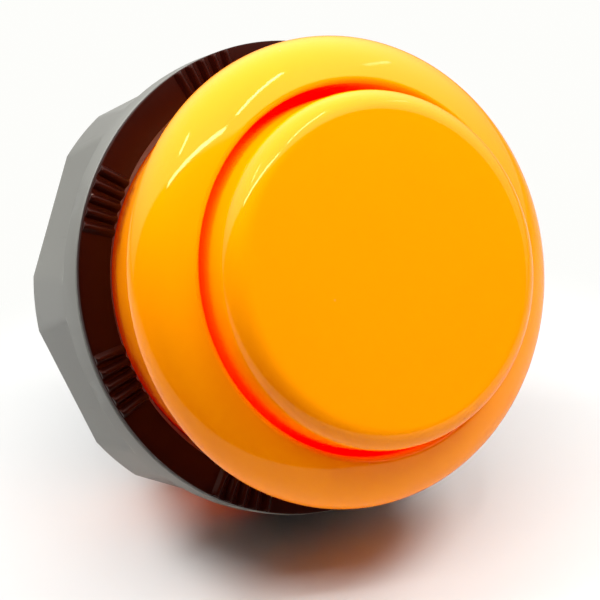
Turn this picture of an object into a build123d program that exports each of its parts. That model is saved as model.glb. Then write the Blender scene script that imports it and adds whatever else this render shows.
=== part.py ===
"""Screw-in arcade push button with its microswitch.

Z is the button's axis and points out of the plunger's face; z = 0 is the underside of the rim, where the panel
seats. The plunger slides in the bezel and pushes the actuator of a microswitch, whose spring returns it. A washer
and an eight-sided nut on the barrel clamp the panel against the rim. The thread below the barrel's collar is drawn
plain: the barrel at its crest and the nut at its root.
"""

import os

from build123d import *

# Driving dimensions, in millimetres

# Bezel: domed rim and barrel, one moulding
rim_overhang = 2.05  # rim beyond the collar
rim_height = 3.6  # panel seat to the rim's mouth
rim_edge = 0.5  # straight edge between the panel seat and the dome
rim_corner = 0.2  # rounding under that edge
mouth_round = 0.4  # rounding at the rim's mouth
dome_slope = 15.0  # degrees that the dome falls at the mouth
dome_spread = 2.4  # reach of the dome's curve from the mouth
dome_drop = 1.1  # reach of the dome's curve from the edge
collar_length = 6.7  # plain collar in the panel's hole, which stops the nut
collar_step = 0.25  # collar beyond the thread
barrel_wall = 1.45  # bore to the thread's crest
barrel_chamfer = 0.6
web_depth = 8.0  # panel seat to the top of the web across the barrel
web_thickness = 1.6
web_ledge = 0.7  # web between the leg slots and the barrel's wall, which the barbs catch under

# Plunger: hollow cap with a stem and two barbed legs
plunger_diameter = 24.6
plunger_gap = 0.6  # radial gap in the rim's mouth
plunger_stand = 3.2  # plunger's face above the rim
plunger_round = 1.6
plunger_wall = 1.6
plunger_cap = 2.0
cap_round = 0.8  # rounding inside the cap
plunger_travel = 2.4
guide_height = 2.0  # wider guide band round the plunger's foot
guide_play = 0.2
stem_radius = 2.2
stem_play = 0.3
stem_reach = 0.4  # stem below the web when the plunger is out
stiffener_thickness = 1.0
stiffener_inset = 2.0  # stiffeners end this far above the plunger's foot
leg_width = 6.0
leg_root = 1.0  # leg's overlap with the plunger's wall
leg_tip = 0.5
barb_height = 1.6
barb_land = 0.4
barb_play = 0.2
slot_play = 0.3
stop_play = 0.05  # left at both stops of the travel

# Washer and nut
thread_play = 0.1
washer_gap = 0.5  # radial gap between collar and washer
washer_thickness = 0.5
washer_inset = 0.1  # washer's edge inside the nut's lip
washer_play = 0.02
rib_height = 0.38
rib_base = 0.8
rib_crest = 0.3
rib_inset = 0.05  # from both edges of the washer
rib_pitch = 3.45  # degrees from rib to rib
ribs_per_group = 5
sides = 8  # of the nut, each with its group of ribs
nut_height = 9.2
nut_wall = 2.2  # thread to the flats
nut_entry = 0.5  # chamfer at both ends of the thread
lip_height = 2.2
lip_step = 0.85  # lip beyond the flats
lip_round = 0.15
land_draft = 0.2  # inward lean of the nut's corners, lip to rear
flat_runout = 0.85  # concave end of each flat, against the lip
nut_round = 0.4

# Switch holder
holder_floor = 1.6
plug_play = 0.1
plug_wall = 1.2
plug_height = 2.2
arm_thickness = 1.3
arm_width = 5.0
arm_height = 5.2
latch_height = 1.8
latch_start = 2.6  # holder's floor to the catching face of the latch
latch_bite = 0.8
latch_play = 0.1
cradle_wall = 1.2
cradle_length = 9.0
pocket_play = 0.1
clip_bite = 0.5
clip_height = 0.8
clip_play = 0.05

# Microswitch
switch_end_gap = 3.0  # barrel's wall to each end of the switch
switch_width = 7.6
case_height = 7.25
case_wall = 0.9
case_floor = 1.0
case_round = 0.5
cover_thickness = 1.2
spigot_length = 1.5
spigot_depth = 1.0
spigot_play = 0.1
actuator_radius = 1.7
actuator_play = 0.1
actuator_stub = 0.6  # actuator above the cover with the plunger pressed in
actuator_crown = 2.4  # solid end above the spring's bore
actuator_round = 0.4
collar_play = 0.4  # actuator's collar to the case
collar_height = 0.8
touch_play = 0.05  # between pieces that push on each other
spring_bore = 1.15
spring_radius = 0.85  # to the middle of the wire
spring_wire = 0.3
spring_turns = 6.5
contact_radius = 0.9
contact_height = 0.4
contact_gap = 0.4
shank_radius = 0.5
peen_height = 0.15
blade_width = 3.2
blade_thickness = 0.2
blade_tail = 0.9  # blade behind the knife edge
blade_nose = 1.1  # blade beyond the contact
blade_slit_width = 0.5
blade_slit_length = 4.0
terminal_width = 2.8
terminal_thickness = 0.5
terminal_length = 7.9  # below the holder
terminal_inset = 1.6  # from the case's inner end
terminal_tip = 0.6
terminal_hole_radius = 0.6
terminal_hole_inset = 2.2
terminal_play = 0.05
foot_length = 3.2
contact_inset = 1.9  # contact's middle from the open terminal

# Radii and heights that follow from them
plunger_radius = plunger_diameter / 2
plunger_inner = plunger_radius - plunger_wall
bore_radius = plunger_radius + plunger_gap
barrel_radius = bore_radius + barrel_wall
collar_radius = barrel_radius + collar_step
rim_radius = collar_radius + rim_overhang
slot_outer = bore_radius - web_ledge

face_z = rim_height + plunger_stand
cap_z = face_z - plunger_cap
web_z = -web_depth - web_thickness
foot_z = -web_depth + plunger_travel + stop_play
barb_z = web_z - stop_play
stem_z = web_z - stem_reach

actuator_top = stem_z - touch_play
cover_top = actuator_top - plunger_travel - actuator_stub
case_top = cover_top - cover_thickness
floor_z = case_top - case_height
barrel_length = -floor_z

switch_length = 2 * (bore_radius - switch_end_gap)
cavity_length = switch_length - 2 * case_wall
cavity_width = switch_width - 2 * case_wall
cavity_z = floor_z + case_floor
fixed_contact_z = cavity_z + terminal_thickness + contact_height
blade_z = fixed_contact_z + contact_gap + contact_height
blade_top = blade_z + blade_thickness
terminal_x = cavity_length / 2 - terminal_inset
contact_x = terminal_x - contact_inset

nut_front = -collar_length - stop_play
washer_rear = nut_front + washer_play
washer_front = washer_rear + washer_thickness
nut_rear = nut_front - nut_height
lip_z = nut_front - lip_height
nut_bore = barrel_radius + thread_play
flat_radius = nut_bore + nut_wall
lip_radius = flat_radius + lip_step
washer_inner = collar_radius + washer_gap
washer_outer = lip_radius - washer_inset

plug_radius = bore_radius - plug_play
latch_z = floor_z + latch_start


def lathe(*outline):
    """Solid turned about Z from a closed outline of lines and arcs in (radius, height)."""
    return revolve(Plane.XZ * make_face(Curve() + list(outline)), Axis.Z)


def ring(inner, outer, low, high):
    """Ring about Z between two radii and two heights."""
    return Pos(0, 0, low) * extrude(Circle(outer) - Circle(inner), amount=high - low)


def disc(radius, low, high):
    """Disc about Z between two heights."""
    return Pos(0, 0, low) * extrude(Circle(radius), amount=high - low)


def block(length, width, low, high, x=0.0, y=0.0):
    """Block of a length along X and a width along Y, centred at x and y, between two heights."""
    return Pos(x, y, (low + high) / 2) * Box(length, width, high - low)


def make_bezel():
    """Domed rim, barrel, and the web that guides the stem and stops the plunger."""
    mouth_z = rim_height - mouth_round
    mouth = CenterArc((bore_radius + mouth_round, mouth_z), mouth_round, 180, -90 - dome_slope)
    dome_start = mouth @ 1
    dome_lean = dome_start + Vector(dome_spread, 0).rotate(Axis.Z, -dome_slope)
    chamfer_radius = barrel_radius - barrel_chamfer
    shell = lathe(
        Line((bore_radius, -barrel_length), (bore_radius, mouth_z)),
        mouth,
        Bezier(dome_start, dome_lean, (rim_radius, rim_edge + dome_drop), (rim_radius, rim_edge)),
        Line((rim_radius, rim_edge), (rim_radius, rim_corner)),
        CenterArc((rim_radius - rim_corner, rim_corner), rim_corner, 0, -90),
        Polyline(
            (rim_radius - rim_corner, 0),
            (collar_radius, 0),
            (collar_radius, -collar_length),
            (barrel_radius, -collar_length),
            (barrel_radius, barrel_chamfer - barrel_length),
            (chamfer_radius, -barrel_length),
            (bore_radius, -barrel_length),
        ),
    )
    web = disc(bore_radius + barrel_wall / 2, web_z, -web_depth)
    stem_hole = disc(stem_radius + stem_play, web_z, -web_depth)
    leg_slots = ring(plunger_inner - slot_play, slot_outer, web_z, -web_depth) & block(
        leg_width + 2 * slot_play, 2 * barrel_radius, web_z, -web_depth
    )
    windows = block(
        2 * rim_radius,
        arm_width + 2 * latch_play,
        latch_z - latch_play,
        latch_z + latch_height + latch_play,
    )
    return shell + (web - stem_hole - leg_slots) - windows


def make_plunger():
    """Hollow cap with a guide band, a ribbed stem for the actuator and two legs whose barbs catch under the web."""
    guide_radius = bore_radius - guide_play
    crown_radius = plunger_radius - plunger_round
    cap = lathe(
        Line((0, face_z), (crown_radius, face_z)),
        CenterArc((crown_radius, face_z - plunger_round), plunger_round, 90, -90),
        Polyline(
            (plunger_radius, face_z - plunger_round),
            (plunger_radius, foot_z + guide_height),
            (guide_radius, foot_z + guide_height),
            (guide_radius, foot_z),
            (plunger_inner, foot_z),
            (plunger_inner, cap_z - cap_round),
        ),
        CenterArc((plunger_inner - cap_round, cap_z - cap_round), cap_round, 0, 90),
        Polyline((plunger_inner - cap_round, cap_z), (0, cap_z), (0, face_z)),
    )
    stem = disc(stem_radius, stem_z, cap_z + plunger_cap / 2)
    stiffener_span = 2 * plunger_inner + plunger_wall
    stiffener = block(stiffener_span, stiffener_thickness, foot_z + stiffener_inset, cap_z)
    leg_outer = slot_outer - slot_play
    barb_outer = bore_radius - barb_play
    legs = lathe(
        Polyline(
            (plunger_inner, foot_z + leg_root),
            (leg_outer, foot_z + leg_root),
            (leg_outer, barb_z),
            (barb_outer, barb_z),
            (barb_outer, barb_z - barb_land),
            (plunger_inner + leg_tip, barb_z - barb_height),
            (plunger_inner, barb_z - barb_height),
            close=True,
        )
    ) & block(leg_width, 2 * barrel_radius, barb_z - barb_height, foot_z + leg_root)
    return cap + stem + stiffener + Rot(0, 0, 90) * stiffener + legs


def make_panel_washer():
    """Flat washer with groups of ribs that bite into the panel's back."""
    plate = ring(washer_inner, washer_outer, washer_rear, washer_front)
    end = Plane(origin=(washer_inner + rib_inset, 0, washer_front), x_dir=(0, 1, 0), z_dir=(1, 0, 0))
    ridge = make_face(
        Polyline(
            (-rib_base / 2, 0),
            (rib_base / 2, 0),
            (rib_crest / 2, rib_height),
            (-rib_crest / 2, rib_height),
            close=True,
        )
    )
    rib = extrude(end * ridge, amount=washer_outer - washer_inner - 2 * rib_inset)
    side_angle = 360 / sides
    first_rib = -rib_pitch * (ribs_per_group - 1) / 2
    angles = [
        (side + 0.5) * side_angle + first_rib + rib_pitch * number
        for side in range(sides)
        for number in range(ribs_per_group)
    ]
    return plate + [Rot(0, 0, angle) * rib for angle in angles]


def make_ring_nut():
    """Nut with a round lip in front and flats that run out against it in a concave curve."""
    land_radius = lip_radius - land_draft
    blank = lathe(
        Line((nut_bore + nut_entry, nut_front), (lip_radius - lip_round, nut_front)),
        CenterArc((lip_radius - lip_round, nut_front - lip_round), lip_round, 90, -90),
        Polyline(
            (lip_radius, nut_front - lip_round),
            (lip_radius, lip_z),
            (land_radius, nut_rear + nut_round),
            (land_radius - nut_round, nut_rear),
            (nut_bore + nut_entry, nut_rear),
            (nut_bore, nut_rear + nut_entry),
            (nut_bore, nut_front - nut_entry),
            (nut_bore + nut_entry, nut_front),
        ),
    )
    outside = lip_radius + flat_runout + nut_round
    below = nut_rear - nut_round
    flat_cut = make_face(
        Curve()
        + [
            CenterArc((flat_radius + flat_runout, lip_z - flat_runout), flat_runout, 90, 90),
            Polyline(
                (flat_radius, lip_z - flat_runout),
                (flat_radius, nut_rear + nut_round),
                (flat_radius - 2 * nut_round, below),
                (outside, below),
                (outside, lip_z),
                (flat_radius + flat_runout, lip_z),
            ),
        ]
    )
    cutter = extrude(Plane.XZ * flat_cut, amount=lip_radius, both=True)
    return blank - [Rot(0, 0, (side + 0.5) * 360 / sides) * cutter for side in range(sides)]


def make_switch_holder():
    """Plug for the barrel's rear end, with two latch arms and a clipped cradle for the switch."""
    flange = disc(barrel_radius - barrel_chamfer, floor_z - holder_floor, floor_z)
    plug = ring(plug_radius - plug_wall, plug_radius, floor_z, floor_z + plug_height)
    arm_inner = plug_radius - arm_thickness
    latch_outer = bore_radius + latch_bite
    arms = lathe(
        Polyline(
            (arm_inner, floor_z),
            (plug_radius, floor_z),
            (plug_radius, latch_z),
            (latch_outer, latch_z),
            (plug_radius, latch_z + latch_height),
            (plug_radius, floor_z + arm_height),
            (arm_inner, floor_z + arm_height),
            close=True,
        )
    ) & block(2 * rim_radius, arm_width, floor_z, floor_z + arm_height)
    clip_z = cover_top + clip_play
    clip_top = clip_z + clip_height
    wall_y = switch_width / 2 + pocket_play + cradle_wall / 2
    clip_width = cradle_wall + pocket_play + clip_bite
    clip_y = wall_y + (cradle_wall - clip_width) / 2
    cradle = [
        block(cradle_length, cradle_wall, floor_z, clip_top, y=wall_y),
        block(cradle_length, clip_width, clip_z, clip_top, y=clip_y),
    ]
    holder = flange + plug + arms
    for piece in cradle:
        holder += piece + mirror(piece, Plane.XZ)
    return holder - terminal_slots(floor_z - holder_floor, floor_z)


def terminal_slots(low, high):
    """Slots that both terminals pass through, between two heights."""
    length = terminal_thickness + 2 * terminal_play
    width = terminal_width + 2 * terminal_play
    return block(length, width, low, high, x=-terminal_x) + block(length, width, low, high, x=terminal_x)


def make_switch_case():
    """Open case with slots for the terminals in its floor."""
    outside = RectangleRounded(switch_length, switch_width, case_round)
    case = Pos(0, 0, floor_z) * extrude(outside, amount=case_height)
    cavity = block(cavity_length, cavity_width, cavity_z, case_top)
    return case - cavity - terminal_slots(floor_z, cavity_z)


def make_switch_cover():
    """Lid with the actuator's guide hole and a spigot into each end of the case."""
    outside = RectangleRounded(switch_length, switch_width, case_round)
    lid = Pos(0, 0, case_top) * extrude(outside - Circle(actuator_radius + actuator_play), amount=cover_thickness)
    spigot_x = cavity_length / 2 - spigot_play - spigot_length / 2
    spigot_width = cavity_width - 2 * spigot_play
    for x in (-spigot_x, spigot_x):
        lid += block(spigot_length, spigot_width, case_top - spigot_depth, case_top, x=x)
    return lid


def make_switch_actuator():
    """Pin with a collar under the lid and a bore for the return spring."""
    collar_radius = cavity_width / 2 - collar_play
    collar_top = case_top - touch_play
    collar_z = collar_top - collar_height
    bore_top = actuator_top - actuator_crown
    crown_radius = actuator_radius - actuator_round
    return lathe(
        Line((0, actuator_top), (crown_radius, actuator_top)),
        CenterArc((crown_radius, actuator_top - actuator_round), actuator_round, 90, -90),
        Polyline(
            (actuator_radius, actuator_top - actuator_round),
            (actuator_radius, collar_top),
            (collar_radius, collar_top),
            (collar_radius, collar_z),
            (spring_bore, collar_z),
            (spring_bore, bore_top),
            (0, bore_top),
            (0, actuator_top),
        ),
    )


def make_return_spring():
    """Coil spring between the contact blade and the end of the actuator's bore."""
    low = blade_top + touch_play + spring_wire / 2
    high = actuator_top - actuator_crown - touch_play - spring_wire / 2
    coil = Helix((high - low) / spring_turns, high - low, spring_radius, center=(0, 0, low))
    wire = Plane(coil @ 0, z_dir=coil % 0) * Circle(spring_wire / 2)
    return sweep(wire, coil, is_frenet=True)


def make_contact_blade():
    """Springy strip that rocks on the common terminal, with two slits that free its middle tongue."""
    tail_x = -terminal_x - blade_tail
    nose_x = contact_x + blade_nose
    strip = Pos((tail_x + nose_x) / 2, 0, blade_z) * extrude(
        RectangleRounded(nose_x - tail_x, blade_width, blade_thickness), amount=blade_thickness
    )
    slit_y = blade_width / 4 + blade_slit_width / 4
    slits = [
        Pos(0, y, blade_z) * extrude(SlotOverall(blade_slit_length, blade_slit_width), amount=blade_thickness)
        for y in (-slit_y, slit_y)
    ]
    return strip - slits - Pos(contact_x, 0, 0) * disc(shank_radius, blade_z, blade_top)


def make_moving_contact():
    """Rivet through the blade, with its head towards the fixed contact."""
    head = disc(contact_radius, blade_z - contact_height, blade_z)
    shank = disc(shank_radius, blade_z, blade_top)
    peen = disc(contact_radius, blade_top, blade_top + peen_height)
    return Pos(contact_x, 0, 0) * (head + shank + peen)


def make_fixed_contact():
    """Rivet in the open terminal's foot."""
    head = disc(contact_radius, fixed_contact_z - contact_height, fixed_contact_z)
    shank = disc(shank_radius, cavity_z, fixed_contact_z - contact_height)
    return Pos(contact_x, 0, 0) * (head + shank)


def make_tab(x, top):
    """Blade of a terminal at x, from its chamfered and pierced tip behind the holder up to a height."""
    tip_z = floor_z - holder_floor - terminal_length
    half = terminal_width / 2
    outline = Polyline(
        (-half, top),
        (-half, tip_z + terminal_tip),
        (-half + terminal_tip, tip_z),
        (half - terminal_tip, tip_z),
        (half, tip_z + terminal_tip),
        (half, top),
        close=True,
    )
    face = make_face(outline) - Pos(0, tip_z + terminal_hole_inset) * Circle(terminal_hole_radius)
    return extrude(Plane.YZ.offset(x) * face, amount=terminal_thickness / 2, both=True)


def make_common_terminal():
    """Straight blade whose upper end is the knife edge under the contact blade."""
    return make_tab(-terminal_x, blade_z - touch_play)


def make_open_terminal():
    """Blade with a foot on the case's floor that holds the fixed contact."""
    foot_top = cavity_z + terminal_thickness
    foot_x = terminal_x + terminal_thickness / 2 - foot_length / 2
    foot = block(foot_length, terminal_width, cavity_z, foot_top, x=foot_x)
    return make_tab(terminal_x, foot_top) + foot - Pos(contact_x, 0, 0) * disc(shank_radius, cavity_z, foot_top)


pieces = {
    "bezel": make_bezel(),
    "plunger": make_plunger(),
    "panel_washer": make_panel_washer(),
    "ring_nut": make_ring_nut(),
    "switch_holder": make_switch_holder(),
    "switch_case": make_switch_case(),
    "switch_cover": make_switch_cover(),
    "switch_actuator": make_switch_actuator(),
    "return_spring": make_return_spring(),
    "contact_blade": make_contact_blade(),
    "moving_contact": make_moving_contact(),
    "fixed_contact": make_fixed_contact(),
    "common_terminal": make_common_terminal(),
    "open_terminal": make_open_terminal(),
}

os.makedirs("parts", exist_ok=True)
for name, solid in pieces.items():
    export_step(solid, f"parts/{name}.step")
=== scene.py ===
"""Looks of a screw-in arcade push button: orange bezel and plunger, black washer and grey ring nut.

Sizes are in millimetres until a mesh is made. Z is the button's axis, out of the plunger's face, and z = 0
is the underside of the rim. The button lies on its side, with +Y towards the floor.
"""

import math

import bmesh
import bpy
from mathutils import Matrix, Vector


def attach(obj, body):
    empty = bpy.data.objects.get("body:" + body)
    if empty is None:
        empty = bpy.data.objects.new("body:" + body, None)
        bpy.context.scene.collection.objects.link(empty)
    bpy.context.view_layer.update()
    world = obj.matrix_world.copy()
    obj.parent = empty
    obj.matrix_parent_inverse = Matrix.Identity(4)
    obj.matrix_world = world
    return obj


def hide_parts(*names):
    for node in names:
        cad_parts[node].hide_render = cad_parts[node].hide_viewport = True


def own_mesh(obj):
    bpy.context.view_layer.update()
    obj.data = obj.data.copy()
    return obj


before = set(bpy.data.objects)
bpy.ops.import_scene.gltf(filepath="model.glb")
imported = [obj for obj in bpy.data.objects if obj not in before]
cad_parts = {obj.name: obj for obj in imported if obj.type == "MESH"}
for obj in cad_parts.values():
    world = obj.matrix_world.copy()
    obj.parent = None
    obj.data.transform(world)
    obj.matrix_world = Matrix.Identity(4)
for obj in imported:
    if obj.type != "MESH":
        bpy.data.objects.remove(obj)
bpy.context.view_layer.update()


# Bezel: domed rim, plain collar and threaded barrel in one polished orange moulding.
# The rim seats on the panel's front, the collar fills the panel's hole and the thread behind carries the nut.
# A web inside guides the plunger's stem, and the switch holder's latches snap into two windows near the rear.

TURN = 2 * math.pi
MM = 0.001


def around(count=192):
    """Angles of the points of a row that goes round Z."""
    return [TURN * k / count for k in range(count)]


def ring(radius, z, angles=None):
    """Row of points at one radius and height."""
    return [(radius * math.cos(a), radius * math.sin(a), z) for a in angles or around()]


def arc(centre, radius, first, last, steps):
    """Points (radius, z) on a circle in an outline, between two angles in degrees."""
    turns = [math.radians(first + (last - first) * k / steps) for k in range(steps + 1)]
    return [(centre[0] + radius * math.cos(t), centre[1] + radius * math.sin(t)) for t in turns]


def bezier(start, lean_start, lean_end, end, steps):
    """Points (radius, z) on a cubic curve, without its first point."""
    points = []
    for k in range(1, steps + 1):
        t = k / steps
        weights = ((1 - t) ** 3, 3 * t * (1 - t) ** 2, 3 * t * t * (1 - t), t**3)
        corners = (start, lean_start, lean_end, end)
        points.append(tuple(sum(w * c[axis] for w, c in zip(weights, corners)) for axis in (0, 1)))
    return points


def ramp(value, start, end):
    """Smooth step from 0 at the start to 1 at the end."""
    t = min(max((value - start) / (end - start), 0.0), 1.0)
    return t * t * (3 - 2 * t)


def skin(rows, whole=True):
    """Vertices and faces of a closed tube through rows of points; rows that aren't whole end in flat caps."""
    count = len(rows[0])
    vertices = [point for row in rows for point in row]
    faces = []
    for i in range(len(rows)):
        j = (i + 1) % len(rows)
        for k in range(count if whole else count - 1):
            m = (k + 1) % count
            faces.append((i * count + k, i * count + m, j * count + m, j * count + k))
    if not whole:
        faces.append([i * count for i in range(len(rows))])
        faces.append([i * count + count - 1 for i in range(len(rows))])
    return vertices, faces


def sector(outline, middle, half, steps=12):
    """Shell of an outline turned through a part of a turn about Z, in degrees."""
    turns = [math.radians(middle - half + 2 * half * k / steps) for k in range(steps + 1)]
    return skin([ring(r, z, turns) for r, z in outline], whole=False)


def box(low, high):
    """Shell of a block between two corners."""
    corners = [(x, y, z) for x in (low[0], high[0]) for y in (low[1], high[1]) for z in (low[2], high[2])]
    faces = [(0, 1, 3, 2), (4, 6, 7, 5), (0, 4, 5, 1), (2, 3, 7, 6), (0, 2, 6, 4), (1, 5, 7, 3)]
    return corners, faces


def crease(mesh):
    """Shades a mesh smooth, with crisp creases."""
    mesh.shade_smooth()
    mesh.set_sharp_from_angle(angle=math.radians(38))


def make_mesh(name, *shells):
    """Object from shells of vertices in millimetres and faces."""
    build = bmesh.new()
    for vertices, faces in shells:
        points = [build.verts.new([c * MM for c in v]) for v in vertices]
        for face in faces:
            build.faces.new([points[k] for k in face])
    bmesh.ops.remove_doubles(build, verts=build.verts, dist=1e-8)
    bmesh.ops.recalc_face_normals(build, faces=build.faces)
    mesh = bpy.data.meshes.new(name)
    build.to_mesh(mesh)
    build.free()
    crease(mesh)
    piece = bpy.data.objects.new(name, mesh)
    bpy.context.scene.collection.objects.link(piece)
    return piece


def cut(piece, *shells):
    """Takes shells out of a piece."""
    for shell in shells:
        tool = make_mesh("tool", shell)
        taken = piece.modifiers.new("cut", "BOOLEAN")
        taken.operation = "DIFFERENCE"
        taken.object = tool
        done = piece.evaluated_get(bpy.context.evaluated_depsgraph_get())
        mesh = bpy.data.meshes.new_from_object(done)
        piece.modifiers.clear()
        piece.data = mesh
        bpy.data.objects.remove(tool)
    crease(piece.data)


def stand_for(piece, node, body, material):
    """Puts a finished piece in a CAD node's place."""
    piece.data.materials.clear()
    piece.data.materials.append(material)
    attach(piece, body)
    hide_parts(node)


def add(tree, kind, **inputs):
    """New shader node with values set on its inputs; an underscore in a name stands for a space."""
    node = tree.nodes.new(kind)
    for name, value in inputs.items():
        node.inputs[name.replace("_", " ")].default_value = value
    return node


def noise(tree, place, **settings):
    """Noise at a place, as an output from 0 to 1."""
    node = add(tree, "ShaderNodeTexNoise", **settings)
    tree.links.new(place, node.inputs["Vector"])
    return node.outputs["Fac"]


def spread(tree, value, start, end, kind="LINEAR"):
    """Output that rises from 0 to 1 as another goes from start to end."""
    node = add(tree, "ShaderNodeMapRange", From_Min=start, From_Max=end)
    node.interpolation_type = kind
    tree.links.new(value, node.inputs["Value"])
    return node.outputs["Result"]


def reckon(tree, operation, *values):
    """Output of an operation on values, each a number or another node's output."""
    node = tree.nodes.new("ShaderNodeMath")
    node.operation = operation
    for k, value in enumerate(values):
        if isinstance(value, float):
            node.inputs[k].default_value = value
        else:
            tree.links.new(value, node.inputs[k])
    return node.outputs["Value"]


def mix_colours(tree, first, second, share):
    """Output of a mix of two colours, each plain or another node's output, by an output from 0 to 1."""
    node = tree.nodes.new("ShaderNodeMix")
    node.data_type = "RGBA"
    for name, colour in (("A", first), ("B", second)):
        if isinstance(colour, tuple):
            node.inputs[name].default_value = (*colour, 1)
        else:
            tree.links.new(colour, node.inputs[name])
    tree.links.new(share, node.inputs["Factor"])
    return node.outputs["Result"]


def finish_group(name, inputs, outputs):
    """Empty node group with named sockets, and its two nodes that bring the inputs and take the outputs."""
    group = bpy.data.node_groups.new(name, "ShaderNodeTree")
    for side, sockets in (("INPUT", inputs), ("OUTPUT", outputs)):
        for socket, kind in sockets.items():
            group.interface.new_socket(socket, in_out=side, socket_type=kind)
    return group, group.nodes.new("NodeGroupInput"), group.nodes.new("NodeGroupOutput")


COLOUR = "NodeSocketColor"
VALUE = "NodeSocketFloat"
finish_outputs = {"Colour": COLOUR, "Roughness": VALUE, "Relief": VALUE}


def moulded_finish():
    """Node group for moulded plastic: clouded tones, dust, hairline scuffs and fine grain."""
    inputs = {"Tone": COLOUR, "Cloudy Tone": COLOUR}
    inputs |= {"Dust Amount": VALUE, "Roughness": VALUE, "Scuffed": VALUE}
    group, given, made = finish_group("moulded finish", inputs, finish_outputs)
    link = group.links.new
    place = group.nodes.new("ShaderNodeTexCoord").outputs["Object"]

    cloud = noise(group, place, Scale=140.0, Detail=3.0, Roughness=0.55)
    clouded = mix_colours(group, given.outputs["Tone"], given.outputs["Cloudy Tone"], cloud)
    specks = add(group, "ShaderNodeTexVoronoi", Scale=620.0, Randomness=1.0)
    link(place, specks.inputs["Vector"])
    speck = spread(group, specks.outputs["Distance"], 0.07, 0.03)
    chance = group.nodes.new("ShaderNodeSeparateColor")
    link(specks.outputs["Color"], chance.inputs["Color"])
    rare = reckon(group, "GREATER_THAN", chance.outputs["Red"], 0.86)
    dust = reckon(group, "MULTIPLY", speck, rare)
    dusting = reckon(group, "MULTIPLY", dust, given.outputs["Dust Amount"])
    link(mix_colours(group, clouded, (0.55, 0.48, 0.42), dusting), made.inputs["Colour"])

    stretch = add(group, "ShaderNodeMapping", Rotation=(0.4, 0.7, 0.5), Scale=(2200.0, 90.0, 130.0))
    link(place, stretch.inputs["Vector"])
    hair = noise(group, stretch.outputs["Vector"], Scale=1.0, Detail=1.0)
    scuffs = spread(group, hair, 0.66, 0.74)
    rough = reckon(group, "MULTIPLY_ADD", scuffs, given.outputs["Scuffed"], given.outputs["Roughness"])
    link(rough, made.inputs["Roughness"])

    grain = add(group, "ShaderNodeMix", Factor=0.55)
    link(noise(group, place, Scale=2600.0, Detail=2.0, Roughness=0.5), grain.inputs["A"])
    link(noise(group, place, Scale=420.0, Detail=1.0), grain.inputs["B"])
    link(grain.outputs["Result"], made.inputs["Relief"])
    return group


def finished(name, group, depth, **values):
    """Material with a finish group's look, by its own values and the relief's depth in millimetres."""
    material = bpy.data.materials.new(name)
    material.use_nodes = True
    tree = material.node_tree
    shader = tree.nodes["Principled BSDF"]
    look = tree.nodes.new("ShaderNodeGroup")
    look.node_tree = group
    for socket, value in values.items():
        look.inputs[socket.replace("_", " ")].default_value = value
    bump = add(tree, "ShaderNodeBump", Strength=1.0, Distance=depth * MM)
    tree.links.new(look.outputs["Colour"], shader.inputs["Base Color"])
    tree.links.new(look.outputs["Roughness"], shader.inputs["Roughness"])
    tree.links.new(look.outputs["Relief"], bump.inputs["Height"])
    tree.links.new(bump.outputs["Normal"], shader.inputs["Normal"])
    return material


def shader_inputs(material):
    """Inputs of a material's own shader."""
    return material.node_tree.nodes["Principled BSDF"].inputs


moulded = moulded_finish()


def plastic(name, tone, cloudy, roughness, grain, dust=0.0, scuffed=0.1):
    """Moulded plastic: two tones, a roughness, the grain's depth, and how much dust and scuffs it shows."""
    material = finished(
        name,
        moulded,
        grain,
        Tone=(*tone, 1),
        Cloudy_Tone=(*cloudy, 1),
        Dust_Amount=dust,
        Roughness=roughness,
        Scuffed=scuffed,
    )
    shader_inputs(material)["IOR"].default_value = 1.5
    return material


def orange_with_painted_glow(name):
    """Polished orange plastic with a painted red glow: a constant red emission over the whole surface stands
    in for red light scattered inside the plastic, so shaded hollows don't go dark.
    """
    material = plastic(name, (1.0, 0.365, 0.0), (1.0, 0.38, 0.0), 0.05, 0.0002, dust=0.1, scuffed=0.04)
    shader_inputs(material)["Specular Tint"].default_value = (1.0, 0.93, 0.45, 1)
    # Painted glow: this red emission lights the whole orange surface, though the plastic is no lamp.
    shader_inputs(material)["Emission Color"].default_value = (1.0, 0.0, 0.0, 1)
    shader_inputs(material)["Emission Strength"].default_value = 0.22
    return material


bore_radius = 12.9
rim_radius = 16.65
rim_height = 3.6
rim_edge = 0.5
rim_corner = 0.2
mouth_round = 0.4
dome_slope = 15
dome_spread = 2.4
dome_drop = 1.1
collar_radius = 14.6
collar_end = -6.7
collar_fillet = 0.3
collar_corner = 0.1
web_top = -8.0
web_low = -9.6
stem_hole = 2.5
slot_inner = 10.4
slot_outer = 12.2
slot_half = 16.8
window_half = 2.6
window_low = -19.0
window_high = -17.0
window_reach = 16
cut_past = 0.1
barrel_end = -21.5
barrel_chamfer = 0.6
rear_round = 0.03
bore_break = 0.05
thread_pitch = 2.0
thread_crest = 14.35
thread_depth = 0.5
thread_start = -6.75
thread_step = 0.125


def thread_part(angle, z):
    """Place across the thread, from 0 to 1 along the axis."""
    return (z / thread_pitch - angle / TURN) % 1.0


def thread_row(z):
    """Row of points on the barrel's thread, which fades out in front and stays open at the chamfered end."""
    crest_end = 0.3
    root_start = 0.5
    root_end = 0.8
    crest_start = 1.0
    plain_end = thread_start - 0.05
    full_depth = thread_start - 0.85
    faded = ramp(z, plain_end, full_depth)
    chamfered = barrel_end + barrel_chamfer - z
    points = []
    for a in around():
        part = thread_part(a, z)
        groove = ramp(part, crest_end, root_start) - ramp(part, root_end, crest_start)
        radius = thread_crest - max(thread_depth * groove * faded, chamfered)
        points.append((radius * math.cos(a), radius * math.sin(a), z))
    return points


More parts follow.
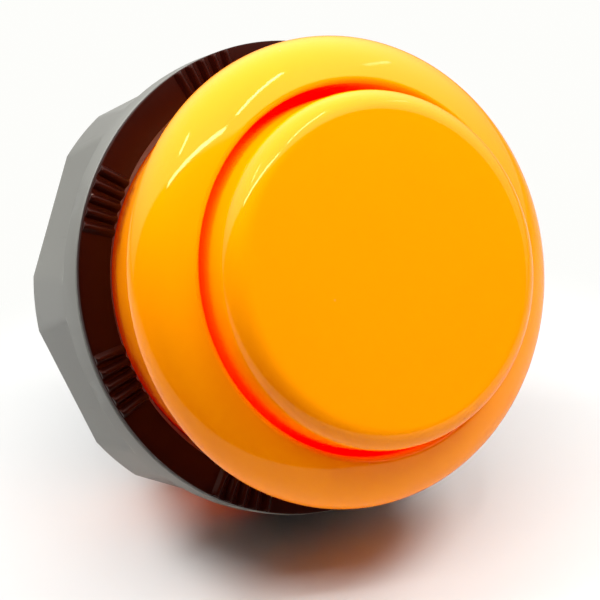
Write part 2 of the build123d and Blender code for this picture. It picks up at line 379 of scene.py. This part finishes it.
mouth_z = rim_height - mouth_round
mouth = arc((bore_radius + mouth_round, mouth_z), mouth_round, 180, 90 - dome_slope, 14)
slope = math.radians(dome_slope)
lean = (mouth[-1][0] + dome_spread * math.cos(slope), mouth[-1][1] - dome_spread * math.sin(slope))
dome = bezier(mouth[-1], lean, (rim_radius, rim_edge + dome_drop), (rim_radius, rim_edge), 40)
bezel_front = [(bore_radius, web_top), (bore_radius, mouth_z - mouth_round / 2), *mouth, *dome]
bezel_front += arc((rim_radius - rim_corner, rim_corner), rim_corner, 0, -90, 5)
bezel_front += arc((collar_radius + collar_fillet, -collar_fillet), collar_fillet, 90, 180, 5)
bezel_front += arc((collar_radius - collar_corner, collar_end + collar_corner), collar_corner, 0, -90, 4)
bezel_front.append((thread_crest, collar_end))
chamfer_radius = thread_crest - barrel_chamfer
bezel_rear = [(chamfer_radius + rear_round, barrel_end + rear_round)]
bezel_rear += [(chamfer_radius - rear_round, barrel_end), (bore_radius + bore_break, barrel_end)]
bezel_rear.append((bore_radius, barrel_end + 2 * bore_break))
bezel_rear += [(bore_radius, web_low), (stem_hole, web_low), (stem_hole, web_top)]
thread_rows = int((thread_start - barrel_end) / thread_step)
bezel_rows = [ring(r, z) for r, z in bezel_front]
bezel_rows += [thread_row(thread_start - thread_step * k) for k in range(thread_rows)]
bezel_rows += [ring(r, z) for r, z in bezel_rear]
bezel = make_mesh("bezel_moulding", skin(bezel_rows))
slot_low = web_low - cut_past
slot_high = web_top + cut_past
leg_slot = [(slot_inner, slot_low), (slot_outer, slot_low), (slot_outer, slot_high), (slot_inner, slot_high)]
windows = box((-window_reach, -window_half, window_low), (window_reach, window_half, window_high))
cut(bezel, sector(leg_slot, 90, slot_half), sector(leg_slot, 270, slot_half), windows)
stand_for(bezel, "bezel", "housing", orange_with_painted_glow("bezel orange"))


# Plunger: hollow cap in the same polished orange, with a guide band round its foot and stiffeners inside.
# Its stem pushes the switch, and two barbed legs snapped through the web hold it in.
# It lies a little low in the bore, because the button rests on its side.

plunger_radius = 12.3
plunger_inner = 10.7
plunger_round = 1.6
face_z = 6.8
foot_z = -5.55
cap_z = face_z - 2.0
cap_round = 0.8
guide_radius = 12.7
guide_top = foot_z + 2.0
guide_break = 0.1
stem_radius = 2.2
stem_z = -10.0
stem_break = 0.2
leg_top = -4.55
leg_outer = 11.9
leg_tip = 0.5
leg_half = 15.2
barb_outer = 12.7
barb_z = -9.65
barb_land = 0.4
barb_height = 1.6
stiffener_half = 0.5
stiffener_reach = 11.4
stiffener_top = cap_z + 0.1
plunger_drop = 0.15

cap = [(0, face_z), (4, face_z), (8, face_z)]
cap += arc((plunger_radius - plunger_round, face_z - plunger_round), plunger_round, 90, 0, 24)
cap += [(plunger_radius, guide_top + guide_break), (guide_radius, guide_top - guide_break / 2)]
cap += [(guide_radius, foot_z + guide_break), (guide_radius - guide_break, foot_z), (plunger_inner, foot_z)]
cap += arc((plunger_inner - cap_round, cap_z - cap_round), cap_round, 0, 90, 6)
cap += [(stem_radius, cap_z), (stem_radius, stem_z + stem_break)]
cap += [(stem_radius - stem_break, stem_z), (0, stem_z)]
leg = [(plunger_inner, leg_top), (leg_outer, leg_top), (leg_outer, barb_z), (barb_outer, barb_z)]
leg += [(barb_outer, barb_z - barb_land), (plunger_inner + leg_tip, barb_z - barb_height)]
leg += [(plunger_inner, barb_z - barb_height)]
plunger = make_mesh(
    "plunger_moulding",
    skin([ring(r, z) for r, z in cap]),
    sector(leg, 90, leg_half),
    sector(leg, 270, leg_half),
    box((-stiffener_reach, -stiffener_half, guide_top), (stiffener_reach, stiffener_half, stiffener_top)),
    box((-stiffener_half, -stiffener_reach, guide_top), (stiffener_half, stiffener_reach, stiffener_top)),
)
plunger.location.y = plunger_drop * MM
stand_for(plunger, "plunger", "plunger", orange_with_painted_glow("plunger orange"))


# Switch case: open-topped box of the microswitch, a fine matte black moulding with slots for the terminals.
# It keeps its CAD shape, with softened edges.


def dress(node, material, soften):
    """Gives a CAD node its material and rounds its edges by a width in millimetres."""
    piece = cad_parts[node]
    piece.data.materials.clear()
    piece.data.materials.append(material)
    edges = piece.modifiers.new("softened edges", "BEVEL")
    edges.width = soften * MM
    edges.segments = 2
    edges.limit_method = "ANGLE"
    edges.angle_limit = math.radians(40)
    edges.harden_normals = True


case_black = plastic("case black", (0.02, 0.02, 0.021), (0.03, 0.03, 0.031), 0.5, 0.003)
dress("switch_case", case_black, 0.06)


# Terminals: two stamped brass blades pushed through the case's floor, lightly tarnished.
# The common one ends in the edge that the contact blade rocks on, the open one in a foot for a contact.


def worked_finish():
    """Node group for worked metal: patches of tarnish and fine lines from drawing or rolling."""
    inputs = {"Tone": COLOUR, "Tarnished Tone": COLOUR, "Roughness": VALUE}
    group, given, made = finish_group("worked finish", inputs, finish_outputs)
    link = group.links.new
    place = group.nodes.new("ShaderNodeTexCoord").outputs["Object"]
    patch = noise(group, place, Scale=500.0, Detail=4.0)
    tarnish = mix_colours(group, given.outputs["Tone"], given.outputs["Tarnished Tone"], patch)
    link(tarnish, made.inputs["Colour"])
    link(reckon(group, "MULTIPLY_ADD", patch, 0.25, given.outputs["Roughness"]), made.inputs["Roughness"])
    stretch = add(group, "ShaderNodeMapping", Scale=(6000.0, 6000.0, 150.0))
    link(place, stretch.inputs["Vector"])
    link(noise(group, stretch.outputs["Vector"], Scale=1.0, Detail=2.0), made.inputs["Relief"])
    return group


worked = worked_finish()


def metal(name, tone, tarnished, roughness):
    """Worked metal: its clean and tarnished tones, and its roughness where it is clean."""
    line_depth = 0.002
    tones = {"Tone": (*tone, 1), "Tarnished_Tone": (*tarnished, 1)}
    material = finished(name, worked, line_depth, Roughness=roughness, **tones)
    shader_inputs(material)["Metallic"].default_value = 1.0
    return material


brass = metal("terminal brass", (0.80, 0.62, 0.30), (0.62, 0.45, 0.22), 0.22)
dress("common_terminal", brass, 0.04)
dress("open_terminal", brass, 0.04)


# Contacts: two silver rivets that meet when the button is pressed.
# One is set in the open terminal's foot and the other is closed over in the contact blade's free end.

silver = metal("contact silver", (0.86, 0.84, 0.80), (0.70, 0.68, 0.64), 0.18)
dress("moving_contact", silver, 0.04)
dress("fixed_contact", silver, 0.04)


# Contact blade: springy strip of rolled copper alloy, with two slits that free its middle tongue.
# It lies on the common terminal's edge and rocks down as the actuator pushes on the return spring.

copper = metal("blade copper", (0.80, 0.43, 0.25), (0.62, 0.32, 0.18), 0.25)
dress("contact_blade", copper, 0.02)


# Return spring: drawn steel wire, coiled between the contact blade and the end of the actuator's bore.
# It stands on the blade; the real spring shortens towards it as the plunger goes in, but this coil is made at
# one length.

spring_low = -18.55
spring_high = -12.5
spring_radius = 0.85
spring_turns = 6.5
wire_radius = 0.15


def wire_row(side):
    """Row of points along the coil, on one side of its wire."""
    steps = 260
    first = spring_low + wire_radius
    rise = spring_high - wire_radius - first
    radius = spring_radius + wire_radius * math.cos(side)
    points = []
    for k in range(steps + 1):
        turn = spring_turns * TURN * k / steps
        z = first + rise * k / steps + wire_radius * math.sin(side)
        points.append((radius * math.cos(turn), radius * math.sin(turn), z))
    return points


spring = make_mesh("spring_coil", skin([wire_row(side) for side in around(14)], whole=False))
spring_steel = metal("spring steel", (0.58, 0.58, 0.59), (0.48, 0.47, 0.46), 0.25)
stand_for(spring, "return_spring", "housing", spring_steel)
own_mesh(spring)


# Switch actuator: satin white pin that the plunger's stem pushes, with a collar under the cover.
# The return spring stands in its bore.

actuator_white = plastic("actuator white", (0.72, 0.7, 0.63), (0.78, 0.76, 0.7), 0.3, 0.001)
dress("switch_actuator", actuator_white, 0.03)


# Switch cover: fine matte red lid that guides the actuator in its hole.
# Two spigots under it fit into the ends of the case.

cover_red = plastic("cover red", (0.33, 0.02, 0.015), (0.38, 0.03, 0.02), 0.42, 0.003)
dress("switch_cover", cover_red, 0.06)


# Switch holder: satin black plug that snaps into the barrel's rear end by two latches.
# The switch is clipped into its cradle, and the terminals pass through its floor.

holder_black = plastic("holder black", (0.018, 0.018, 0.019), (0.026, 0.026, 0.027), 0.38, 0.002, 0.3)
dress("switch_holder", holder_black, 0.08)


# Panel washer: flat satin black ring, loose on the collar in front of the nut.
# Its ribs bite into the panel's back, five over each of the nut's flats.
# Each rib has a narrow rounded crest and a rounded outer end.

washer_inner = 15.1
washer_outer = 17.45
washer_low = -6.73
washer_high = -6.23
outer_round = 0.08
inner_round = 0.06
sides = 8
side_angle = 360 / sides
rib_pitch = 3.45
ribs_per_side = 5
washer_shift = -0.05


def rib(angle):
    """Shell of one rib along a radius, from points on its flank and its size at stations along it."""
    least_width = 0.7
    flank = [(-0.42, -0.05), (-0.38, 0.02), (-0.3, 0.12), (-0.19, 0.29), (-0.13, 0.35), (-0.05, 0.38)]
    section = flank + [(-across, height) for across, height in reversed(flank)]
    stations = [(washer_inner + 0.02, 0.86), (washer_inner + 0.08, 1.0), (washer_outer - 0.35, 1.0)]
    stations += [(washer_outer - 0.2, 0.95), (washer_outer - 0.1, 0.84), (washer_outer - 0.04, 0.66)]
    rows = []
    for across, height in section:
        row = []
        for radius, size in stations:
            off = across * (least_width + (1 - least_width) * size)
            x = radius * math.cos(angle) - off * math.sin(angle)
            y = radius * math.sin(angle) + off * math.cos(angle)
            row.append((x, y, washer_high + (height * size if height > 0 else height)))
        rows.append(row)
    return skin(rows, whole=False)


plate = arc((washer_outer - outer_round, washer_high - outer_round), outer_round, 90, 0, 4)
plate += arc((washer_outer - outer_round, washer_low + outer_round), outer_round, 0, -90, 4)
plate += arc((washer_inner + inner_round, washer_low + inner_round), inner_round, 270, 180, 4)
plate += arc((washer_inner + inner_round, washer_high - inner_round), inner_round, 180, 90, 4)
rib_groups = [side_angle * (side + 0.5) for side in range(sides)]
rib_offs = [rib_pitch * (number - (ribs_per_side - 1) / 2) for number in range(ribs_per_side)]
ribs = [rib(math.radians(middle + off)) for middle in rib_groups for off in rib_offs]
washer = make_mesh("washer_moulding", skin([ring(r, z) for r, z in plate]), *ribs)
washer.location.y = washer_shift * MM
# Painted reflection: the base tones and the specular tint are red, standing in for the orange bezel mirrored
# in a ring that is black.
washer_black_painted_red = plastic("washer black", (0.017, 0.002, 0.001), (0.022, 0.003, 0.0015), 0.3, 0.002, 0.25, 0.15)
shader_inputs(washer_black_painted_red)["Specular IOR Level"].default_value = 0.14
shader_inputs(washer_black_painted_red)["Specular Tint"].default_value = (1.0, 0.55, 0.45, 1)
stand_for(washer, "panel_washer", "washer", washer_black_painted_red)


# Ring nut: satin grey moulding with a round lip in front, eight flats that run out against it and a thread.
# The flats lie under the washer's groups of ribs, and narrow lands are left between them.
# It screws onto the barrel and clamps the washer and the panel against the rim.

nut_front = -6.75
nut_rear = -15.95
nut_bore = 14.45
nut_entry = 0.8
nut_round = 0.4
nut_turned = 0.8
lip_z = -8.95
lip_radius = 17.5
lip_round = 0.15
lip_edge = 0.4
flat_radius = 16.65
flat_runout = 0.5
land_rear = 17.3
ridge_height = 0.45
ridge_start = nut_rear + 0.9
ridge_rows = 60
flat_columns = 32
land_columns = 8
land_rows = 8
lip_half = math.acos(flat_radius / lip_radius)
half_side = math.radians(side_angle / 2)


def nut_angles(half=lip_half):
    """Angles of the columns round the nut: across each flat, then across the land that follows it."""
    land = 2 * (half_side - half)
    angles = []
    for side in range(sides):
        middle = half_side * (2 * side + 1)
        angles += [middle - half + 2 * half * k / flat_columns for k in range(flat_columns)]
        angles += [middle + half + land * k / land_columns for k in range(land_columns)]
    return angles


def nut_row(flat, land, z, half=lip_half):
    """Row round the nut: flats at a distance from the axis, cut into a round at the lands' radius."""
    points = []
    for a in nut_angles(half):
        off = (a - half_side) % (2 * half_side)
        off = min(off, 2 * half_side - off)
        radius = min(flat / math.cos(off), land)
        points.append((radius * math.cos(a), radius * math.sin(a), z))
    return points


def nut_thread_row(z):
    """Row on the nut's inside, whose ridge lies in the barrel's groove and fades out at both ends."""
    foot_start = 0.36
    top_start = 0.54
    top_end = 0.76
    foot_end = 0.94
    full = 1.7
    faded = ramp(z, nut_rear + nut_entry, nut_rear + full) * ramp(z, nut_front - nut_entry, nut_front - full)
    points = []
    for a in nut_angles():
        part = thread_part(a, z)
        ridge = ramp(part, foot_start, top_start) - ramp(part, top_end, foot_end)
        radius = nut_bore - ridge_height * ridge * faded
        points.append((radius * math.cos(a), radius * math.sin(a), z))
    return points


runout_radius = flat_radius + flat_runout
runout_z = lip_z - flat_runout
edge_start = -math.degrees(math.acos((lip_radius - runout_radius) / lip_edge))
lip_curve = arc((runout_radius, lip_z + lip_edge), lip_edge, edge_start, -90, 8)
past_edge = 97
lip_curve += arc((runout_radius, runout_z), flat_runout, past_edge, 180, 8)
lip_front = arc((lip_radius - lip_round, nut_front - lip_round), lip_round, 90, 0, 5)
nut_rows = [ring(nut_bore + nut_entry, nut_front, nut_angles())]
nut_rows += [ring(r, z, nut_angles()) for r, z in lip_front]
nut_rows += [nut_row(r, lip_radius, z) for r, z in lip_curve]
for step in range(1, land_rows + 1):
    land = lip_radius + (land_rear - lip_radius) * step / land_rows
    z = runout_z + (nut_rear + nut_round - runout_z) * step / land_rows
    nut_rows.append(nut_row(flat_radius, land, z, math.acos(flat_radius / land)))
rear_half = math.acos(flat_radius / land_rear)
for drop in (0.12, 0.3, nut_round):
    z = nut_rear + nut_round - drop
    nut_rows.append(nut_row(flat_radius - drop, land_rear - drop, z, rear_half))
nut_rows.append(ring(nut_bore + nut_entry, nut_rear, nut_angles()))
nut_rows.append(ring(nut_bore, nut_rear + nut_entry, nut_angles()))
nut_rows += [nut_thread_row(ridge_start + thread_step * k) for k in range(ridge_rows)]
nut_rows.append(ring(nut_bore, nut_front - nut_entry, nut_angles()))
nut = make_mesh("nut_moulding", skin(nut_rows))
nut.data.transform(Matrix.Rotation(math.radians(nut_turned), 4, "Z"))
nut_grey = plastic("nut grey", (0.212, 0.21, 0.191), (0.235, 0.232, 0.211), 0.3, 0.0016, 0.15, 0.12)
shader_inputs(nut_grey)["Specular IOR Level"].default_value = 0.35
stand_for(nut, "ring_nut", "nut", nut_grey)


# Camera: a close view from the front and a little from the left, along the floor.
# The seen axes give each of the button's axes as parts to the right, up and towards the camera.

tilt = math.radians(29.04)
roll = math.radians(-5.15)
camera_right = -3.05
camera_up = -1.98
camera_toward = 125
seen_x = (-math.cos(tilt) * math.cos(roll), math.cos(tilt) * math.sin(roll), math.sin(tilt))
seen_y = (-math.sin(roll), -math.cos(roll), 0.0)
seen_z = (math.sin(tilt) * math.cos(roll), -math.sin(tilt) * math.sin(roll), math.cos(tilt))
right, up, toward = (Vector((seen_x[k], seen_y[k], seen_z[k])) for k in range(3))
camera = bpy.data.objects.new("camera", bpy.data.cameras.new("camera"))
bpy.context.scene.collection.objects.link(camera)
camera.data.sensor_width = 36
camera.data.lens = 106.2
camera.data.clip_start = 0.005
camera_place = (right * camera_right + up * camera_up + toward * camera_toward) * MM
camera.matrix_world = Matrix.Translation(camera_place) @ Matrix((right, up, toward)).transposed().to_4x4()
bpy.context.scene.camera = camera


# Floor: white paper under the button, which rests on the nut's edge and the switch holder's flange.
# It shows the button's shadow and fades to plain white further off; from below it isn't seen.

flange_radius = 13.75
flange_rear = -23.1
floor_gap = 0.05
floor_size = 1000
floor_front = 45
fade_start = 20
fade_end = 45
rest_lean = math.atan2(land_rear - flange_radius, nut_rear + nut_round - flange_rear)
rest_turn = math.radians(13)
rest_side = Vector((math.sin(rest_turn), -math.cos(rest_turn), 0.0))
floor_up = rest_side * math.cos(rest_lean) + Vector((0.0, 0.0, math.sin(rest_lean)))
floor_along = (toward - floor_up * toward.dot(floor_up)).normalized()
floor_across = floor_along.cross(-floor_up)
nut_edge = Vector((0.0, 0.0, nut_rear + nut_round)) - rest_side * land_rear
contact = (nut_edge - floor_up * floor_gap) * MM


def floor_corner(across, along):
    """Corner of the floor, from millimetres across and towards the camera."""
    return contact + (floor_across * across + floor_along * along) * MM


floor_mesh = bpy.data.meshes.new("floor")
corners = [floor_corner(-floor_size, -floor_size), floor_corner(floor_size, -floor_size)]
corners += [floor_corner(floor_size, floor_front), floor_corner(-floor_size, floor_front)]
floor_mesh.from_pydata(corners, [], [(0, 1, 2, 3)])
if floor_mesh.polygons[0].normal.dot(floor_up) < 0:
    floor_mesh.flip_normals()
floor = bpy.data.objects.new("floor", floor_mesh)
bpy.context.scene.collection.objects.link(floor)


def mix_shaders(tree, first, second, share):
    """Output of a mix of two shaders by an output from 0 to 1."""
    node = tree.nodes.new("ShaderNodeMixShader")
    tree.links.new(share, node.inputs["Fac"])
    tree.links.new(first, node.inputs[1])
    tree.links.new(second, node.inputs[2])
    return node.outputs["Shader"]


paper = bpy.data.materials.new("white paper")
paper.use_nodes = True
paper_tree = paper.node_tree
paper_tree.nodes.clear()
paper_ray = paper_tree.nodes.new("ShaderNodeLightPath")
paper_mirrored = paper_ray.outputs["Is Glossy Ray"]
# Painted shade: the paper is darker where it is seen in reflections, standing in for the shadowed floor that
# the rim mirrors.
paper_tone = mix_colours(paper_tree, (0.77, 0.77, 0.762), (0.45, 0.45, 0.445), paper_mirrored)
paper_near = paper_tree.nodes.new("ShaderNodeBsdfDiffuse")
paper_tree.links.new(paper_tone, paper_near.inputs["Color"])
paper_far = add(paper_tree, "ShaderNodeEmission", Color=(0.985, 0.985, 0.96, 1))
paper_place = paper_tree.nodes.new("ShaderNodeTexCoord")
paper_span = paper_tree.nodes.new("ShaderNodeVectorMath")
paper_span.operation = "DISTANCE"
paper_span.inputs[1].default_value = contact
paper_tree.links.new(paper_place.outputs["Object"], paper_span.inputs[0])
paper_fade = spread(paper_tree, paper_span.outputs["Value"], fade_start * MM, fade_end * MM, "SMOOTHSTEP")
paper_faded = reckon(paper_tree, "MULTIPLY", paper_fade, paper_ray.outputs["Is Camera Ray"])
paper_top = mix_shaders(paper_tree, paper_near.outputs["BSDF"], paper_far.outputs["Emission"], paper_faded)
paper_clear = paper_tree.nodes.new("ShaderNodeBsdfTransparent")
paper_below = paper_tree.nodes.new("ShaderNodeNewGeometry").outputs["Backfacing"]
paper_shown = mix_shaders(paper_tree, paper_top, paper_clear.outputs["BSDF"], paper_below)
paper_out = paper_tree.nodes.new("ShaderNodeOutputMaterial")
paper_tree.links.new(paper_shown, paper_out.inputs["Surface"])
floor_mesh.materials.append(paper)


# Lights: a small white tent, with bright strips and panels in its roof and a dark opening at the camera.
# The strips show as the bright lines on the orange rim, and the panels only light the surfaces.


def in_tent(x, y, z):
    """Vector in metres, from millimetres across the tent, up from its floor and towards its opening."""
    return (floor_across * x + floor_up * y + floor_along * z) * MM


def lamp(name, middle, along, length, width, radiance, mirrored=True):
    """Rectangular light at a place in the tent, with its length along a direction, facing the button."""
    light = bpy.data.lights.new(name, "AREA")
    light.shape = "RECTANGLE"
    light.size = length * MM
    light.size_y = width * MM
    light.energy = radiance * math.pi * light.size * light.size_y
    panel = bpy.data.objects.new(name, light)
    bpy.context.scene.collection.objects.link(panel)
    where = in_tent(*middle)
    side = in_tent(*along).normalized()
    back = (where - side * where.dot(side)).normalized()
    facing = Matrix((side, back.cross(side), back)).transposed().to_4x4()
    panel.matrix_world = Matrix.Translation(where) @ facing
    panel.visible_camera = False
    panel.visible_glossy = mirrored


lamp("front_strip", (-11, 120, 52), (98, 0, -8), 98, 6, 19)
lamp("right_strip", (45, 120, 15), (7, 0, -46), 46, 5, 20)
lamp("left_strip", (-42, 120, 20), (5, 0, -19), 20, 4, 24)
lamp("far_strip", (123, 120, -58), (14, 0, -51), 53, 5, 4)
lamp("left_lamp", (-90, 122, -15), (0, 0, 1), 90, 48, 14.0, mirrored=False)
lamp("right_lamp", (90, 122, 0), (0, 0, 1), 70, 48, 16.5, mirrored=False)
lamp("middle_lamp", (0, 122, 30), (1, 0, 0), 120, 116, 1.8, mirrored=False)
lamp("back_lamp", (-40, 60, -152), (1, 0, 0), 240, 120, 1.2, mirrored=False)

world = bpy.data.worlds.new("tent")
bpy.context.scene.world = world
world.use_nodes = True
tent = world.node_tree
tent.nodes.clear()
ray = tent.nodes.new("ShaderNodeLightPath")
direction = tent.nodes.new("ShaderNodeTexCoord")


def part_along(axis, start, end):
    """Output that rises from 0 to 1 as a direction's part along an axis goes from start to end."""
    part = tent.nodes.new("ShaderNodeVectorMath")
    part.operation = "DOT_PRODUCT"
    part.inputs[1].default_value = axis
    tent.links.new(direction.outputs["Generated"], part.inputs[0])
    return spread(tent, part.outputs["Value"], start, end, "SMOOTHSTEP")


opening_side = floor_along * 0.9 - floor_up * 0.42 - floor_across * 0.1
walls = mix_colours(tent, (0.55, 0.55, 0.54), (2.3, 2.3, 2.25), part_along(floor_up, 0.0, 0.75))
opened = mix_colours(tent, (0.03, 0.03, 0.03), walls, part_along(opening_side, 0.03, -0.03))
level = add(tent, "ShaderNodeMapRange", To_Min=0.1, To_Max=1.0)
tent.links.new(ray.outputs["Is Glossy Ray"], level.inputs["Value"])
inside = tent.nodes.new("ShaderNodeBackground")
tent.links.new(opened, inside.inputs["Color"])
tent.links.new(level.outputs["Result"], inside.inputs["Strength"])
backdrop = add(tent, "ShaderNodeBackground", Color=(0.985, 0.985, 0.965, 1))
tent_out = tent.nodes.new("ShaderNodeOutputWorld")
seen = ray.outputs["Is Camera Ray"]
lit = mix_shaders(tent, inside.outputs["Background"], backdrop.outputs["Background"], seen)
tent.links.new(lit, tent_out.inputs["Surface"])

bpy.context.scene.view_settings.view_transform = "Standard"
